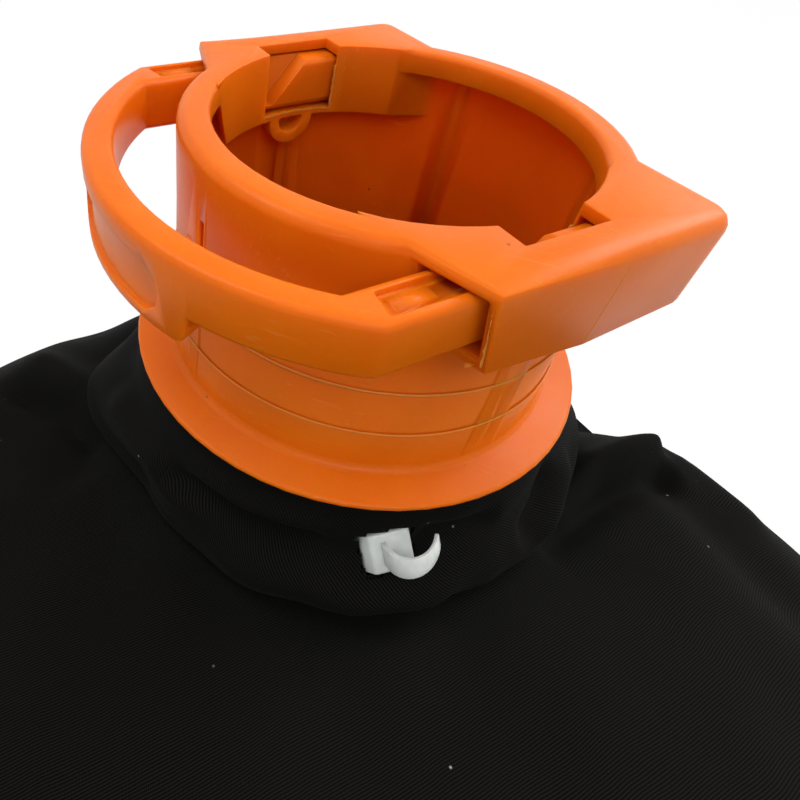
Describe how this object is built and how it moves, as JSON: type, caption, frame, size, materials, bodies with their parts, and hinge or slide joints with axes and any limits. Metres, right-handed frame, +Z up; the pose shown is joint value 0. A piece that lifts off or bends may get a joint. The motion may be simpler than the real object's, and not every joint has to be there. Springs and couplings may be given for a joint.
{
  "type": "blower vacuum collection bag",
  "caption": "Slumped cloth debris sack for a garden blower vacuum: zipped bottom end and an upright plastic collar with a sprung latch bow, tied into its neck.",
  "frame": {"origin": "on the floor under the middle of the bag's bounding box", "axes": "+Z up along the collar's axis, +Y along the bag towards the collar, so the zip is at the -Y end, +X across the bag"},
  "size_m": [0.38, 0.5488, 0.2206],
  "materials": {
    "orange_plastic": "moulded polypropylene, satin gloss, lightly scuffed",
    "spring_steel": "drawn spring wire",
    "natural_nylon": "undyed nylon, milky white",
    "black_cloth": "woven polyester twill, matt",
    "zip_tape": "woven tape",
    "zip_nylon": "coiled nylon",
    "painted_zinc": "black enamel on zinc"
  },
  "bodies": {
    "bag": {"collar": "orange_plastic", "return_spring_front": "spring_steel", "return_spring_back": "spring_steel", "cable_tie": "natural_nylon", "neck_sleeve": "black_cloth", "upper_panel": "black_cloth", "lower_panel": "black_cloth", "zip_tape_upper": "zip_tape", "zip_tape_lower": "zip_tape", "zip_coil": "zip_nylon", "zip_bottom_stop": "painted_zinc", "zip_slider": "painted_zinc"},
    "latch": {"latch_bow": "orange_plastic"},
    "pull": {"zip_pull": "painted_zinc"}
  },
  "joints": [
    {"name": "latch_slide", "type": "slide", "parent": "bag", "child": "latch", "axis": [0.7071, 0.7071, 0], "range_m": [0, 0.012], "stiffness_N_per_m": 600, "springref_m": -0.006, "deforming": ["return_spring_front", "return_spring_back"]},
    {"name": "zip_pull_hinge", "type": "hinge", "parent": "bag", "child": "pull", "pos_m": [0.0957, -0.27148, 0.05], "axis": [0, 0, 1], "range_deg": [0, 170]}
  ]
}
